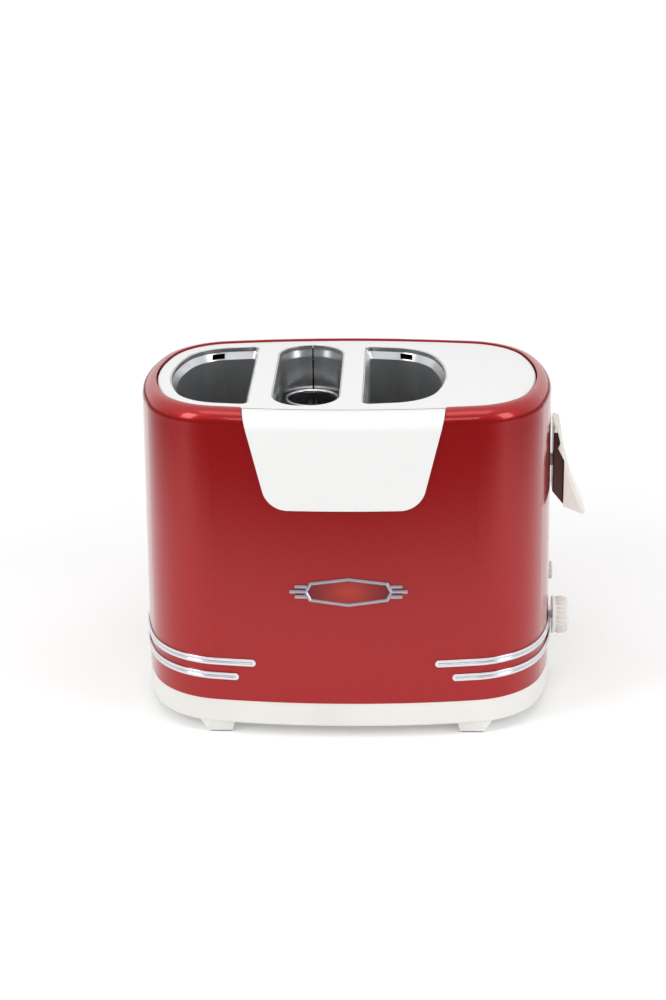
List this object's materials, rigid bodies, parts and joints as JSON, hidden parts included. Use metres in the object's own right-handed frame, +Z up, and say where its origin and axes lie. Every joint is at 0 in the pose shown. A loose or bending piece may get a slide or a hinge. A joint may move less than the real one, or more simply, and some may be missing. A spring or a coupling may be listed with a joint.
{
  "type": "hot dog toaster",
  "caption": "Free-standing oval toaster with deep bun wells beside a well that holds a lift-out basket of perforated tubes for sausages, worked by an end lever and a browning knob.",
  "frame": {"origin": "under the middle of the whole toaster, on the surface that it stands on", "axes": "+X towards the end with the lever and the knob, +Y from the front with the badge to the back, +Z up"},
  "size_m": [0.2878, 0.1697, 0.219],
  "materials": {
    "red_paint": "metallic red enamel, gloss",
    "deck_silver": "pale satin",
    "panel_white": "pale satin",
    "chrome": "polished",
    "badge_field": "dark red enamel",
    "white_plastic": "moulded, gloss",
    "brown_plastic": "moulded, dark brown",
    "black_plastic": "moulded",
    "steel": "rolled sheet",
    "liner_steel": "aluminised sheet, satin",
    "mica": "mica board",
    "ribbon": "resistance ribbon",
    "copper": "enamelled winding",
    "board": "laminate",
    "rubber": "soft"
  },
  "bodies": {
    "toaster_body": {"outer_shell": "red_paint", "top_deck": "deck_silver", "front_panel": "panel_white", "badge_frame": "chrome", "badge_plate": "badge_field", "base_pan": "white_plastic", "foot_pads": "rubber", "base_screws": "steel", "deck_screws": "steel", "upper_plate": "steel", "lower_plate": "steel", "return_spring": "steel", "browning_control": "black_plastic", "cancel_switch": "black_plastic", "control_bracket": "steel", "circuit_board": "board", "board_parts": "black_plastic", "cord_gland": "rubber", "terminal_block": "white_plastic", "magnet_yoke": "steel", "magnet_coil": "copper", "guide_rod_front": "steel", "guide_rod_rear": "steel", "bun_well_left": "liner_steel", "bun_well_right": "liner_steel", "trim_strip_upper_left": "chrome", "trim_strip_lower_left": "chrome", "sausage_well_left": "liner_steel", "guard_grids_left": "steel", "mica_card_left_front": "mica", "heating_ribbon_left_front": "ribbon", "mica_card_left_rear": "mica", "heating_ribbon_left_rear": "ribbon", "trim_strip_upper_right": "chrome", "trim_strip_lower_right": "chrome", "sausage_well_right": "liner_steel", "guard_grids_right": "steel", "mica_card_right_front": "mica", "heating_ribbon_right_front": "ribbon", "mica_card_right_rear": "mica", "heating_ribbon_right_rear": "ribbon"},
    "carriage": {"lift_carriage": "steel", "lift_beam": "steel", "bun_cradle_left": "steel", "bun_cradle_right": "steel", "basket_cradle": "steel", "latch_plate": "steel", "lever_arm": "steel", "lever_insert": "brown_plastic", "lever_grip": "white_plastic"},
    "basket": {"basket_tube_front": "steel", "basket_tube_rear": "steel", "basket_bridge": "steel", "basket_knob": "black_plastic"},
    "browning_knob": {"browning_knob": "white_plastic", "browning_shaft": "steel"},
    "cancel_button": {"cancel_button": "white_plastic"},
    "crumb_tray": {"crumb_tray": "white_plastic"}
  },
  "joints": [
    {"name": "lift_slide", "type": "slide", "parent": "toaster_body", "child": "carriage", "axis": [0, 0, -1], "range_m": [0, 0.052], "stiffness_N_per_m": 120, "springref_m": -0.06, "deforming": ["return_spring"]},
    {"name": "basket_lift", "type": "slide", "parent": "carriage", "child": "basket", "axis": [0, 0, 1], "range_m": [0, 0.13]},
    {"name": "browning_turn", "type": "hinge", "parent": "toaster_body", "child": "browning_knob", "pos_m": [0.1204, 0, 0.05], "axis": [1, 0, 0], "range_deg": [-140, 140]},
    {"name": "cancel_press", "type": "slide", "parent": "toaster_body", "child": "cancel_button", "axis": [-1, 0, 0], "range_m": [0, 0.002], "stiffness_N_per_m": 400, "springref_m": -0.002},
    {"name": "tray_pull", "type": "slide", "parent": "toaster_body", "child": "crumb_tray", "axis": [0, 1, 0], "range_m": [0, 0.13]}
  ]
}
